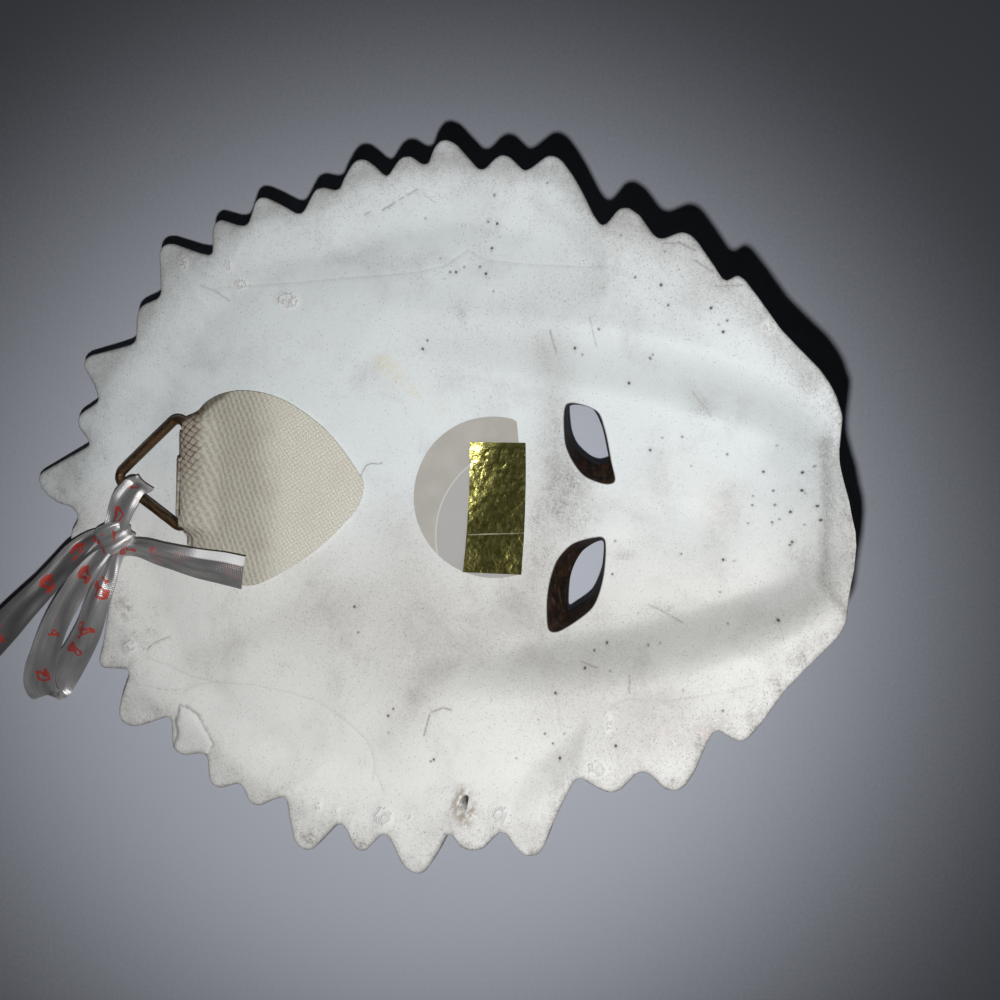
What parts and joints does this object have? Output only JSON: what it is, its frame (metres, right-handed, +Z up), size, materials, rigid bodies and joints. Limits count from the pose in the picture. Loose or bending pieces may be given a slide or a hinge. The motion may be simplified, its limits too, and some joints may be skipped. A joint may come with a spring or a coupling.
{
  "type": "ceramic wall mask",
  "caption": "Small ceramic wall mask with a ruff of pointed teeth, a hollow back with eye holes, a cloth hanger tab with a wire ring, a tied ribbon and labels.",
  "frame": {"origin": "on the surface that the mask lies on, under the middle of its outline", "axes": "+Y towards the crown of the mask, +X towards its wearer's right, +Z up out of the hollow back; it lies face down on its nose and two teeth of the crown"},
  "size_m": [0.1274, 0.1726, 0.0427],
  "materials": {
    "ceramic": "white cast ceramic, matt on the back, with dirt, plaster flakes and bronze-brown paint in the eye holes",
    "tab_cloth": "ivory twill, gummed, with a rust stain along the fold",
    "ring_wire": "rusty brown",
    "ribbon_satin": "silver-grey satin with plain red marks",
    "foil_paper": "crinkled gold foil, bare",
    "clear_film": "thin translucent film"
  },
  "bodies": {
    "mask": {"mask_shell": "ceramic", "hanger_tab": "tab_cloth", "foil_label": "foil_paper", "round_sticker": "clear_film"},
    "ring": {"hanger_ring": "ring_wire", "ribbon": "ribbon_satin"}
  },
  "joints": [
    {"name": "ring_swing", "type": "hinge", "parent": "mask", "child": "ring", "pos_m": [0.00645, 0.04192, 0.01235], "axis": [1, 0.0005, 0.002], "range_deg": [0, 90], "deforming": ["ribbon"]}
  ]
}
